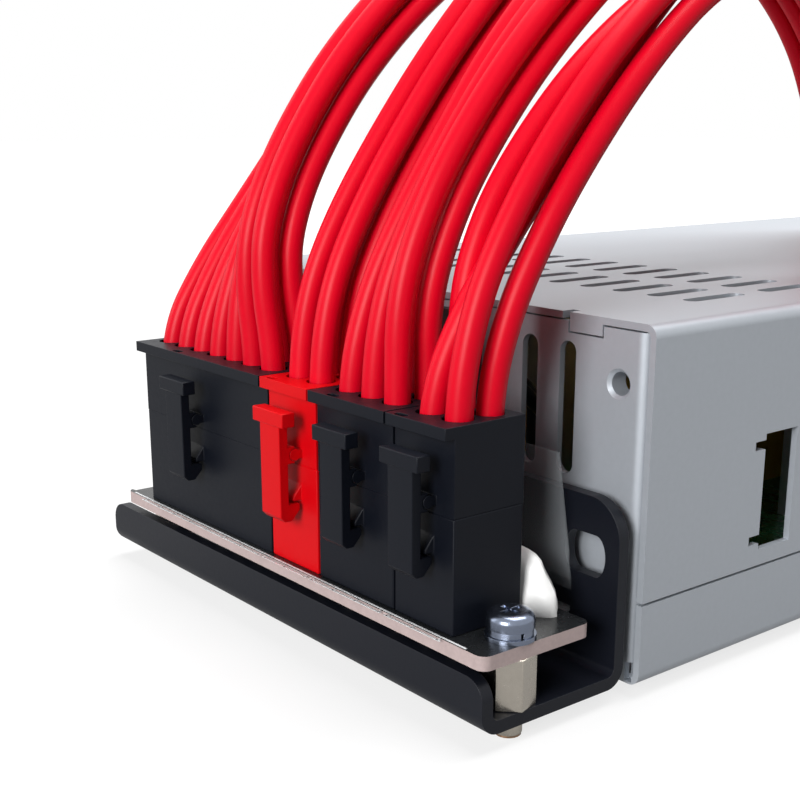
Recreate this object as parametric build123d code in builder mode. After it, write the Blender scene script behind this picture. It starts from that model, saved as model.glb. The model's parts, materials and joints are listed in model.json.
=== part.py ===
"""A flex ATX power supply: a folded steel case with a mains inlet and a fan at the rear, and at its
front wall a black bracket that carries a small board with four upright power headers, their plugs
and their red silicone wires. X runs across the case, +Y goes from the front wall to the rear, +Z is
up. The origin is on the surface that the supply stands on, under the middle of its footprint."""

import os
from math import cos, degrees, hypot, radians, sin, tan

from build123d import *

os.makedirs("parts", exist_ok=True)

# Case, folded from one sheet thickness
case_width = 81.5
case_length = 150.0
case_height = 40.5
sheet = 0.8
bend_radius = 1.0  # to the middle of the sheet
slip = 0.2  # between sheets that slide together
band_height = 9.6  # the tray's side bands
seam_gap = 0.3  # between band and cover
flange_depth = 8.0  # the end walls' side flanges

# Vent slots in the cover
vent_length = 10.3
vent_width = 2.2
vent_pitch_across = 5.55
vent_pitch_along = 14.2
vent_columns = 12
vent_rows = 2
vent_start = 17.1  # from the front wall to the first row's near end

# Cover tongues that fold down over the front wall
tongue_width = 4.9
tongue_drop = 1.3
tongue_spread = 61.6  # between the two tongues' middles

# Lanced window in the cover's right side, its tab bent inwards
window_start = 20.3
window_length = 6.1
window_low = 11.9
window_high = 26.0
tab_height = 10.4
tab_depth = 5.0
relief = 1.1

# Front wall features
opening_width = 37.4
opening_height = 13.4
opening_at = -6.0
opening_drop = 3.1  # from the top of the case to the opening
slot_width = 2.5
slot_length = 15.2
slot_drop = 3.2  # from the top of the case to the slots
slot_pitch = 6.0
slot_at = 28.25  # the outer slot's middle
tapped_radius = 1.3
thread_fit = 0.03
tapped_spread = 71.7
tapped_drop = 6.9  # from the top of the case to the hole
collar_radius = 2.2
collar_depth = 1.8

# Bracket
bracket_sheet = 1.5
bracket_bend = 1.6
bracket_depth = 22.5
bracket_lip = 6.2
bracket_back = 20.3
bracket_inset = 0.9  # its right edge, in from the case's right face
bracket_raise = 0.5  # its floor above the case's underside
back_corner = 4.5
bracket_screw_x = (-15.8, 15.2)
bracket_screw_high = 15.0
lip_corner = 2.5

# Breakout board on standoffs
board_left = 4.5  # in from the case's left face
board_depth = 15.5
board_thick = 1.6
board_corner = 1.2
standoff_height = 5.8
standoff_flats = 5.0
stud_radius = 1.5
stud_below = 2.1
screw_inset = 2.5  # from the board's end to the screw
screw_back = 6.0  # from the board's front edge to the screw
washer_radius = 2.9
washer_thick = 0.6
spring_radius = 2.6
spring_thick = 0.8
head_radius = 2.75
head_height = 2.0

# Power headers and plugs, on a square pin pitch
pitch = 4.2
shell_margin = 0.6  # beyond the outer pitch cells
header_height = 12.7
header_setback = 1.1  # behind the board's front edge
header_gap = 0.34
header_end = 5.9  # from the last header to the board's right end
pocket = 3.7
pocket_depth = 10.2
tower = 3.5
tower_length = 9.2
pin_side = 1.0
pin_height = 7.0  # above the pocket's floor
pin_tail = 2.6
contact_hole = 2.0
collar_height = 9.6  # the plug above its header
rim_proud = 1.3
rim_height = 1.3
rim_notch = 0.9
notch_shift = 2.9
wire_hole_depth = 4.0

# Latches
lever_width = 4.0
lever_thick = 1.2
lever_stand = 2.0  # from the plug's face to the lever's back
lever_up = 6.7
lever_down = 6.5
tab_width = 6.2
tab_rise = 1.7
tab_extra = 0.25
pivot_radius = 0.7
pivot_fit = 0.05
pivot_out = 1.0
pivot_up = 1.4
web_thick = 1.0
hook_in = 1.5
hook_top = 4.5  # below the seam
hook_play = 0.2
catch_proud = 1.2
catch_rise = 2.0

# Red wires
wire_radius = 1.5
wire_hole_fit = 0.2

# Rear end
fan_room = 2.5  # between the fan and the case height
fan_wall = 1.2
fan_corner = 3.5  # from the frame's side to its screws
fan_depth = 20.0
fan_at = 18.6
fan_flange = 3.0
fan_hole = 1.8
hub_radius = 9.8
hub_length = 13.0
hub_wall = 1.0
shaft_radius = 1.5
shaft_fit = 0.05
blade_count = 7
blade_chord = 13.0
blade_thick = 0.9
blade_gap = 0.7
guard_wire = 0.75
ring_pitch = 5.0
ring_edge = 2.3  # from the fan's bore to the outer ring
fan_head_radius = 2.8
fan_head_height = 1.6
inlet_at = -20.0
inlet_width = 27.0
inlet_height = 19.6
inlet_depth = 17.0
inlet_flange_width = 31.0
inlet_flange_height = 24.0
inlet_flange = 2.4
socket_width = 24.2
socket_height = 16.6
socket_depth = 15.0
socket_corner = 4.0
blade_pin_length = 14.0

# Main board and what it carries
boss_radius = 2.6
boss_height = 4.7
boss_bore = 1.3
main_width = 74.0
main_length = 114.0
main_start = 9.5  # from the front wall
main_thick = 1.6
boss_inset = 5.0
cover_clear = 5.6  # between the tallest inner piece and the cover

# Worked out from the above
half_width = case_width / 2
rear_proud = 2 * guard_wire + fan_head_height
lever_front = lever_stand + lever_thick + tab_extra
header_front = bracket_depth - header_setback
wall_y = (header_front + lever_front - case_length - rear_proud) / 2
rear_y = wall_y + case_length
case_z = stud_below - bracket_raise
case_top = case_z + case_height
band_top = case_z + band_height
wall_half = half_width - sheet - slip
wall_top = case_top - sheet - slip
floor_z = case_z + bracket_raise
board_z = floor_z + bracket_sheet + standoff_height
board_top = board_z + board_thick
board_right = half_width - bracket_inset
board_front = wall_y - bracket_depth
header_y = wall_y - header_front
opening_z = case_top - opening_drop - opening_height / 2
slot_z = case_top - slot_drop - slot_length / 2
tapped_z = case_top - tapped_drop
fan_size = case_height - fan_room
fan_bore = fan_size / 2 - fan_wall
fan_pitch = fan_size - 2 * fan_corner
guard_rings = [fan_bore - ring_edge - k * ring_pitch for k in (2, 1, 0)]
seam_z = board_top + header_height
plug_top = seam_z + collar_height
shell_depth = 2 * pitch + 2 * shell_margin
first_pin = shell_margin + pitch / 2

# The four cables: name, columns, and how far the latch stands from the left end
cables = (
    ("14_way", 7, 13.2),
    ("red_4_way", 2, 4.8),
    ("6_way", 3, 6.9),
    ("4_way", 2, 4.8),
)


def shell_width(columns):
    return columns * pitch + 2 * shell_margin


row_width = sum(shell_width(c) for _, c, _ in cables) + header_gap * (len(cables) - 1)
header_left = {}
left_edge = board_right - header_end - row_width
for cable, columns, latch_at in cables:
    header_left[cable] = left_edge
    left_edge += shell_width(columns) + header_gap

front_plane = Plane.XZ.offset(-wall_y)  # faces -Y
rear_plane = Plane.XZ.offset(-rear_y)
vent_middle = wall_y + vent_start + (vent_pitch_along * (vent_rows - 1) + vent_length) / 2
bracket_screw_z = case_z + bracket_screw_high
fan_z = case_z + case_height / 2
inlet_z = case_z + case_height / 2
ear_at = (wall_y + 58, wall_y + 112)
ear_screw_z = case_z + 14.5

# Case base: bottom and side bands from one fold, end walls with flanges, ears for the cover screws
ear_x = half_width - sheet - slip - sheet / 2
boss_spots = [
    (x, wall_y + main_start + y)
    for x in (-main_width / 2 + boss_inset, main_width / 2 - boss_inset)
    for y in (boss_inset, main_length - boss_inset)
]
with BuildPart() as case_base:
    with BuildSketch(front_plane):
        with BuildLine():
            FilletPolyline(
                (-half_width + sheet / 2, band_top),
                (-half_width + sheet / 2, case_z + sheet / 2),
                (half_width - sheet / 2, case_z + sheet / 2),
                (half_width - sheet / 2, band_top),
                radius=bend_radius,
            )
        trace(line_width=sheet)
    extrude(amount=-case_length)
    for outer, inward in ((wall_y, 1), (rear_y, -1)):
        with BuildSketch(Plane.XY.offset(case_z + sheet)):
            with BuildLine():
                FilletPolyline(
                    (-wall_half + sheet / 2, outer + inward * flange_depth),
                    (-wall_half + sheet / 2, outer + inward * sheet / 2),
                    (wall_half - sheet / 2, outer + inward * sheet / 2),
                    (wall_half - sheet / 2, outer + inward * flange_depth),
                    radius=bend_radius,
                )
            trace(line_width=sheet)
        extrude(amount=wall_top - case_z - sheet)
    # Ears that rise inside the cover and take its screws
    for side in (-1, 1):
        for y in ear_at:
            with BuildSketch(Plane.XY.offset(case_z + sheet)):
                with Locations((side * ear_x, y)):
                    Rectangle(sheet, 12)
            extrude(amount=19)
    # Bosses under the main board
    with BuildSketch(Plane.XY.offset(case_z + sheet)):
        with Locations(*boss_spots):
            Circle(boss_radius)
            Circle(boss_bore, mode=Mode.SUBTRACT)
    extrude(amount=boss_height)
    # Extruded collars behind the tapped holes
    with BuildSketch(Plane.XZ.offset(-wall_y - sheet)):
        with Locations((0, tapped_z)):
            with GridLocations(tapped_spread, 1, 2, 1):
                Circle(collar_radius)
    extrude(amount=-collar_depth)
    # Front wall: lead opening, slots, tapped holes, seats for the cover's tongues, corner reliefs
    with BuildSketch(front_plane):
        with Locations((opening_at, opening_z)):
            RectangleRounded(opening_width, opening_height, 2.5)
        with Locations(*[(slot_at - k * slot_pitch, slot_z) for k in (0, 1)]):
            SlotOverall(slot_length, slot_width, rotation=90)
        with Locations((0, wall_top)):
            with GridLocations(tongue_spread, 1, 2, 1):
                Rectangle(tongue_width + 2 * slip, 2 * tongue_drop)
        with Locations((0, case_z + sheet + relief / 2)):
            with GridLocations(2 * wall_half - relief, 1, 2, 1):
                Rectangle(relief, 2 * relief)
    extrude(amount=-sheet - slip, mode=Mode.SUBTRACT)
    with BuildSketch(front_plane):
        with Locations((0, tapped_z)):
            with GridLocations(tapped_spread, 1, 2, 1):
                Circle(tapped_radius)
        with Locations(*[(x, bracket_screw_z) for x in bracket_screw_x]):
            Circle(tapped_radius)
    extrude(amount=-sheet - collar_depth, mode=Mode.SUBTRACT)
    # Rear wall: fan and inlet cut-outs
    with BuildSketch(rear_plane):
        with Locations((fan_at, fan_z)):
            Circle(fan_bore)
            with GridLocations(fan_pitch, fan_pitch, 2, 2):
                Circle(fan_hole)
        with Locations((inlet_at, inlet_z)):
            Rectangle(inlet_width + 2 * slip, inlet_height + 2 * slip)
    extrude(amount=sheet, mode=Mode.SUBTRACT)
    # Screw holes through the ears
    for side in (-1, 1):
        with BuildSketch(Plane.YZ.offset(side * ear_x)):
            with Locations(*[(y, ear_screw_z) for y in ear_at]):
                Circle(tapped_radius)
        extrude(amount=sheet, both=True, mode=Mode.SUBTRACT)
    chamfer(
        case_base.edges()
        .filter_by(GeomType.CIRCLE)
        .filter_by(lambda e: abs(e.radius - tapped_radius) < 1e-3 and abs(e.center().Y - wall_y) < 1e-3),
        sheet / 2,
    )
case_base.part.label = "case_base"
export_step(case_base.part, "parts/case_base.step")

# Case cover: top and sides from one fold
cover_low = band_top + seam_gap
head_recess = 2.6
with BuildPart() as case_cover:
    with BuildSketch(front_plane):
        with BuildLine():
            FilletPolyline(
                (-half_width + sheet / 2, cover_low),
                (-half_width + sheet / 2, case_top - sheet / 2),
                (half_width - sheet / 2, case_top - sheet / 2),
                (half_width - sheet / 2, cover_low),
                radius=bend_radius,
            )
        trace(line_width=sheet)
    extrude(amount=-case_length)
    # Tongues, each with a slit beside it where it was sheared free
    with BuildSketch(front_plane):
        with Locations((0, case_top - sheet / 2)):
            with GridLocations(tongue_spread, 1, 2, 1):
                Rectangle(tongue_width, tongue_drop + sheet / 2, align=(Align.CENTER, Align.MAX))
    extrude(amount=-sheet)
    with BuildSketch(Plane.XY.offset(case_top)):
        with Locations(*[((s * (tongue_spread - tongue_width - relief) / 2), wall_y) for s in (-1, 1)]):
            Rectangle(relief, 3 * relief)
    extrude(amount=-sheet, mode=Mode.SUBTRACT)
    # Vent slots
    with BuildSketch(Plane.XY.offset(case_top)):
        with Locations((0, vent_middle)):
            with GridLocations(vent_pitch_across, vent_pitch_along, vent_columns, vent_rows):
                SlotOverall(vent_length, vent_width, rotation=90)
    extrude(amount=-sheet, mode=Mode.SUBTRACT)
    # Lanced window with reliefs at the ends of its bend
    tab_low = case_z + window_low + (window_high - window_low - tab_height) / 2
    with BuildSketch(Plane.YZ.offset(half_width)):
        with Locations((wall_y + window_start, case_z + window_low)):
            Rectangle(window_length, window_high - window_low, align=Align.MIN)
        for z in (tab_low - relief, tab_low + tab_height):
            with Locations((wall_y + window_start - sheet - relief, z)):
                Rectangle(2 * relief + sheet, relief, align=Align.MIN)
    extrude(amount=-2 * sheet, mode=Mode.SUBTRACT)
    with BuildSketch(Plane.XY.offset(tab_low)):
        with Locations((half_width, wall_y + window_start)):
            Rectangle(tab_depth, sheet, align=Align.MAX)
    extrude(amount=tab_height)
    # Countersunk holes for the cover screws
    for side in (-1, 1):
        with BuildSketch(Plane.YZ.offset(side * half_width)):
            with Locations(*[(y, ear_screw_z) for y in ear_at]):
                Circle(tapped_radius + 2 * slip)
        extrude(amount=-side * 2 * sheet, mode=Mode.SUBTRACT)
    chamfer(
        case_cover.edges()
        .filter_by(GeomType.CIRCLE)
        .filter_by(
            lambda e: abs(e.radius - tapped_radius - 2 * slip) < 1e-3
            and abs(abs(e.center().X) - half_width) < 1e-3
        ),
        sheet * 0.75,
    )
case_cover.part.label = "case_cover"
export_step(case_cover.part, "parts/case_cover.step")

# Cover screws: flat heads in the countersinks, shanks through the ears
with BuildPart() as cover_screws:
    for side in (-1, 1):
        for y in ear_at:
            with BuildSketch(Plane.XY.offset(ear_screw_z)) as screw_half:
                with BuildLine():
                    Polyline(
                        (side * half_width, y),
                        (side * half_width, y + tapped_radius + sheet * 0.75),
                        (side * (half_width - sheet * 0.75), y + tapped_radius - thread_fit),
                        (side * (half_width - 5), y + tapped_radius - thread_fit),
                        (side * (half_width - 5), y),
                        close=True,
                    )
                make_face()
            revolve(axis=Axis((0, y, ear_screw_z), (1, 0, 0)))
cover_screws.part.label = "cover_screws"
export_step(cover_screws.part, "parts/cover_screws.step")

# Cable grommet: a channel of rubber round the front wall's opening
grommet_lip = 1.3
grommet_wall = 1.2
with BuildPart() as cable_grommet:
    with BuildSketch(Plane.XZ.offset(-wall_y + grommet_wall)):
        with Locations((opening_at, opening_z)):
            RectangleRounded(opening_width + 2 * grommet_lip, opening_height + 2 * grommet_lip, 3.5)
    extrude(amount=-(sheet + 2 * grommet_wall))
    with BuildSketch(front_plane):
        with Locations((opening_at, opening_z)):
            RectangleRounded(opening_width + 4 * grommet_lip, opening_height + 4 * grommet_lip, 4.5)
            RectangleRounded(opening_width - 2 * slip, opening_height - 2 * slip, 2.5, mode=Mode.SUBTRACT)
    extrude(amount=-sheet, mode=Mode.SUBTRACT)
    with BuildSketch(Plane.XZ.offset(-wall_y + grommet_wall)):
        with Locations((opening_at, opening_z)):
            RectangleRounded(opening_width - 2 * grommet_wall, opening_height - 2 * grommet_wall, 1.5)
    extrude(amount=-(sheet + 2 * grommet_wall), mode=Mode.SUBTRACT)
cable_grommet.part.label = "cable_grommet"
export_step(cable_grommet.part, "parts/cable_grommet.step")

# Bracket: back plate, floor and lip folded from one sheet
bracket_left = -half_width
bracket_width = board_right - bracket_left
bracket_middle = (board_right + bracket_left) / 2
stud_x = (-half_width + board_left + screw_inset, board_right - screw_inset)
stud_y = board_front + screw_back
oval_length = 6.8
oval_width = 3.3
oval_high = 13.9
oval_inset = 7.0
with BuildPart() as bracket:
    with BuildSketch(Plane.YZ.offset(bracket_middle)):
        with BuildLine():
            FilletPolyline(
                (board_front + bracket_sheet / 2, floor_z + bracket_lip),
                (board_front + bracket_sheet / 2, floor_z + bracket_sheet / 2),
                (wall_y - bracket_sheet / 2, floor_z + bracket_sheet / 2),
                (wall_y - bracket_sheet / 2, floor_z + bracket_back),
                radius=bracket_bend,
            )
        trace(line_width=bracket_sheet)
    extrude(amount=bracket_width / 2, both=True)
    across = bracket.edges().filter_by(Axis.Y).group_by(Axis.Z)
    fillet(across[-1], back_corner)
    fillet(
        bracket.edges()
        .filter_by(Axis.Y)
        .filter_by(lambda e: abs(e.center().Z - floor_z - bracket_lip) < 1e-3),
        lip_corner,
    )
    # Oval slots and the fixing holes in the back plate
    with BuildSketch(front_plane):
        with Locations((bracket_middle, case_z + oval_high)):
            with GridLocations(bracket_width - 2 * oval_inset, 1, 2, 1):
                SlotOverall(oval_length, oval_width)
        with Locations(*[(x, bracket_screw_z) for x in bracket_screw_x]):
            Circle(tapped_radius + 2 * slip)
    extrude(amount=bracket_sheet, mode=Mode.SUBTRACT)
    # Stud holes in the floor
    with BuildSketch(Plane.XY.offset(floor_z)):
        with Locations(*[(x, stud_y) for x in stud_x]):
            Circle(stud_radius + slip)
    extrude(amount=bracket_sheet, mode=Mode.SUBTRACT)
bracket.part.label = "bracket"
export_step(bracket.part, "parts/bracket.step")

# Bracket screws: pan heads on the back plate, behind the headers
bracket_head = 1.7
with BuildPart() as bracket_screws:
    with BuildSketch(Plane.XZ.offset(-wall_y + bracket_sheet)):
        with Locations(*[(x, bracket_screw_z) for x in bracket_screw_x]):
            Circle(2.4)
    extrude(amount=bracket_head)
    fillet(bracket_screws.edges().group_by(Axis.Y)[0], 0.8)
    with BuildSketch(Plane.XZ.offset(-wall_y + bracket_sheet)):
        with Locations(*[(x, bracket_screw_z) for x in bracket_screw_x]):
            Circle(tapped_radius - thread_fit)
    extrude(amount=-(bracket_sheet + sheet + 1.5))
    with BuildSketch(Plane.XZ.offset(-wall_y + bracket_sheet + bracket_head)):
        with Locations(*[(x, bracket_screw_z) for x in bracket_screw_x]):
            Rectangle(2.6, 0.5)
            Rectangle(0.5, 2.6)
    extrude(amount=-0.9, mode=Mode.SUBTRACT)
bracket_screws.part.label = "bracket_screws"
export_step(bracket_screws.part, "parts/bracket_screws.step")

# Standoffs: hexagons with a chamfered end, each on a stud through the bracket's floor
with BuildPart() as standoffs:
    with BuildSketch(Plane.XY.offset(floor_z + bracket_sheet)):
        with Locations(*[(x, stud_y) for x in stud_x]):
            RegularPolygon(standoff_flats / 2, 6, major_radius=False, rotation=15)
    extrude(amount=standoff_height)
    with BuildSketch(Plane.XY.offset(floor_z - stud_below)):
        with Locations(*[(x, stud_y) for x in stud_x]):
            Circle(stud_radius)
    extrude(amount=stud_below + bracket_sheet)
    chamfer(standoffs.edges().group_by(Axis.Z)[0], 0.4)
    with BuildSketch(Plane.XY.offset(board_z)):
        with Locations(*[(x, stud_y) for x in stud_x]):
            Circle(tapped_radius)
    extrude(amount=-4.5, mode=Mode.SUBTRACT)
standoffs.part.label = "standoffs"
export_step(standoffs.part, "parts/standoffs.step")

# Board screws: pan head with a cross recess, a split spring washer and a flat washer
head_z = board_top + washer_thick + spring_thick
with BuildPart() as board_screws:
    with BuildSketch(Plane.XY.offset(head_z)):
        with Locations(*[(x, stud_y) for x in stud_x]):
            Circle(head_radius)
    extrude(amount=head_height)
    fillet(board_screws.edges().group_by(Axis.Z)[-1], head_height * 0.55)
    with BuildSketch(Plane.XY.offset(head_z + head_height)):
        with Locations(*[(x, stud_y) for x in stud_x]):
            Rectangle(2.8, 0.55)
            Rectangle(0.55, 2.8)
    extrude(amount=-1.2, taper=12, mode=Mode.SUBTRACT)
    with BuildSketch(Plane.XY.offset(board_z - 3.5)):
        with Locations(*[(x, stud_y) for x in stud_x]):
            Circle(tapped_radius - thread_fit)
    extrude(amount=head_z - board_z + 3.5)
board_screws.part.label = "board_screws"
export_step(board_screws.part, "parts/board_screws.step")

with BuildPart() as board_washers:
    with BuildSketch(Plane.XY.offset(board_top)):
        with Locations(*[(x, stud_y) for x in stud_x]):
            Circle(washer_radius)
            Circle(tapped_radius + slip, mode=Mode.SUBTRACT)
    extrude(amount=washer_thick)
    with BuildSketch(Plane.XY.offset(board_top + washer_thick)):
        with Locations(*[(x, stud_y) for x in stud_x]):
            Circle(spring_radius)
            Circle(tapped_radius + slip, mode=Mode.SUBTRACT)
            with Locations((spring_radius, -0.6)):
                Rectangle(2 * spring_radius - 2, 0.35, rotation=-20, mode=Mode.SUBTRACT)
    extrude(amount=spring_thick)
board_washers.part.label = "board_washers"
export_step(board_washers.part, "parts/board_washers.step")

# Breakout board with its plated holes
pin_spots = [
    (header_left[cable] + first_pin + pitch * column, header_y + first_pin + pitch * row)
    for cable, columns, _ in cables
    for column in range(columns)
    for row in (0, 1)
]
lead_colours = {"black": (-3.0, 6.9, 9.6), "yellow": (1.8, 4.3), "orange": (-0.6,)}
lead_radius = 1.0
lead_y = wall_y - 8.7
with BuildPart() as breakout_board:
    with BuildSketch(Plane.XY.offset(board_z)):
        with Locations(((board_right + board_left - half_width) / 2, board_front + board_depth / 2)):
            RectangleRounded(board_right - board_left + half_width, board_depth, board_corner)
        with Locations(*[(x, stud_y) for x in stud_x]):
            Circle(tapped_radius + slip, mode=Mode.SUBTRACT)
        with Locations(*pin_spots):
            Circle(pin_side * 0.75, mode=Mode.SUBTRACT)
    extrude(amount=board_thick)
breakout_board.part.label = "breakout_board"
export_step(breakout_board.part, "parts/breakout_board.step")

# Header pins
with BuildPart() as header_pins:
    with BuildSketch(Plane.XY.offset(board_top - pin_tail)):
        with Locations(*pin_spots):
            Rectangle(pin_side, pin_side)
    extrude(amount=pin_tail + header_height - pocket_depth + pin_height)
header_pins.part.label = "header_pins"
export_step(header_pins.part, "parts/header_pins.step")

# Each header: a shell with one pocket for each pin and a catch for the latch
for cable, columns, latch_at in cables:
    width = shell_width(columns)
    corner = Plane((header_left[cable], header_y, seam_z))
    with BuildPart() as header:
        with BuildSketch(corner.offset(-header_height)):
            Rectangle(width, shell_depth, align=Align.MIN)
        extrude(amount=header_height)
        with BuildSketch(corner):
            with Locations((width / 2, shell_depth / 2)):
                with GridLocations(pitch, pitch, columns, 2):
                    Rectangle(pocket, pocket)
        extrude(amount=-pocket_depth, mode=Mode.SUBTRACT)
        with BuildSketch(corner.offset(-header_height)):
            with Locations((width / 2, shell_depth / 2)):
                with GridLocations(pitch, pitch, columns, 2):
                    Rectangle(pin_side, pin_side)
        extrude(amount=header_height - pocket_depth, mode=Mode.SUBTRACT)
        with BuildSketch(Plane.YZ.offset(header_left[cable] + latch_at)):
            ledge = seam_z - hook_top + hook_play
            Polygon(
                (header_y, ledge),
                (header_y - catch_proud, ledge),
                (header_y - catch_proud, ledge + 0.5),
                (header_y, ledge + catch_rise),
                align=None,
            )
        extrude(amount=lever_width / 2 - 0.3, both=True)
    header.part.label = "header_" + cable
    export_step(header.part, "parts/header_" + cable + ".step")

# Where each plug sits: the plane's origin is its seam corner, local +Z points to the wires, and
# local -Y is the latch's side. The far plugs lie on the cover with their latches up.
far_spots = {"14_way": (12.6, 126.0), "red_4_way": (13.3, 126.0), "6_way": (14.2, 126.0), "4_way": (3.8, 72.0)}
plug_middle = {cable: header_left[cable] + shell_width(columns) / 2 for cable, columns, _ in cables}
near_plane = {cable: Plane((header_left[cable], header_y, seam_z)) for cable, _, _ in cables}
far_plane = {
    cable: Plane(
        (
            plug_middle[cable] + far_spots[cable][0] + shell_width(columns) / 2,
            wall_y + far_spots[cable][1] + collar_height,
            case_top + shell_depth,
        ),
        x_dir=(-1, 0, 0),
        z_dir=(0, -1, 0),
    )
    for cable, columns, _ in cables
}
for cable, columns, latch_at in cables:
    width = shell_width(columns)
    for end, corner in (("plug_", near_plane[cable]), ("far_plug_", far_plane[cable])):
        latch_plane = Plane(
            corner.from_local_coords(Vector(latch_at, 0, 0)), x_dir=corner.y_dir, z_dir=corner.x_dir
        )
        with BuildPart() as plug:
            with BuildSketch(corner):
                Rectangle(width, shell_depth, align=Align.MIN)
            extrude(amount=collar_height)
            # Rim along the top of the latch side, with its notch
            with BuildSketch(corner.offset(collar_height - rim_height)):
                with Locations((0, -rim_proud)):
                    Rectangle(width, rim_proud, align=Align.MIN)
                with Locations((latch_at - notch_shift, -rim_proud / 2)):
                    SlotOverall(2 * rim_notch, rim_notch, mode=Mode.SUBTRACT)
            extrude(amount=rim_height)
            # Wire holes
            with BuildSketch(corner.offset(collar_height)):
                with Locations((width / 2, shell_depth / 2)):
                    with GridLocations(pitch, pitch, columns, 2):
                        Circle(wire_radius + wire_hole_fit)
            extrude(amount=-wire_hole_depth, mode=Mode.SUBTRACT)
            # Towers that enter the header's pockets, each with its contact hole
            with BuildSketch(corner):
                with Locations((width / 2, shell_depth / 2)):
                    with GridLocations(pitch, pitch, columns, 2):
                        Rectangle(tower, tower)
            extrude(amount=-tower_length)
            with BuildSketch(corner.offset(-tower_length)):
                with Locations((width / 2, shell_depth / 2)):
                    with GridLocations(pitch, pitch, columns, 2):
                        Rectangle(contact_hole, contact_hole)
            extrude(amount=tower_length + 1, mode=Mode.SUBTRACT)
            # Web that the latch rocks on
            with BuildSketch(latch_plane):
                with Locations((-pivot_out / 2, pivot_up)):
                    Rectangle(pivot_out, web_thick)
                with Locations((-pivot_out, pivot_up)):
                    Circle(pivot_radius)
            extrude(amount=lever_width / 2, both=True)
            if end == "far_plug_":
                with BuildSketch(latch_plane):
                    with Locations((-lever_stand, (lever_up - lever_down) / 2)):
                        Rectangle(lever_thick, lever_up + lever_down, align=(Align.MAX, Align.CENTER))
                    with Locations(((-lever_stand - pivot_out) / 2, pivot_up)):
                        Rectangle(lever_stand - pivot_out, web_thick)
                    with Locations((-lever_stand, -lever_down)):
                        Rectangle(hook_in, lever_down - hook_top, align=Align.MIN)
                extrude(amount=lever_width / 2, both=True)
        plug.part.label = end + cable
        export_step(plug.part, "parts/" + end + cable + ".step")

# Latches: a lever with a thumb tab at the top, a saddle on the web and a hook under the catch
for cable, columns, latch_at in cables:
    latch_plane = Plane(
        (header_left[cable] + latch_at, header_y, seam_z), x_dir=(0, 1, 0), z_dir=(1, 0, 0)
    )
    back = -lever_stand
    front = -lever_stand - lever_thick
    with BuildPart() as latch:
        with BuildSketch(latch_plane):
            Polygon(
                (front, -lever_down + 0.6),
                (front + 0.6, -lever_down),
                (back + 0.4, -lever_down),
                (back + hook_in, -hook_top - 0.8),
                (back + hook_in, -hook_top),
                (back, -hook_top),
                (back, pivot_up - 1.0),
                (-pivot_out - 0.05, pivot_up - 1.0),
                (-pivot_out - 0.05, pivot_up + 1.0),
                (back, pivot_up + 1.0),
                (back, lever_up),
                (front, lever_up),
                align=None,
            )
            with Locations((-pivot_out, pivot_up)):
                Circle(pivot_radius + pivot_fit, mode=Mode.SUBTRACT)
        extrude(amount=lever_width / 2, both=True)
        with BuildSketch(latch_plane):
            with Locations((front - tab_extra, lever_up)):
                Rectangle(lever_thick + tab_extra + 0.3, tab_rise, align=(Align.MIN, Align.MAX))
        extrude(amount=tab_width / 2, both=True)
    latch.part.label = "latch_" + cable
    export_step(latch.part, "parts/latch_" + cable + ".step")

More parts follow.
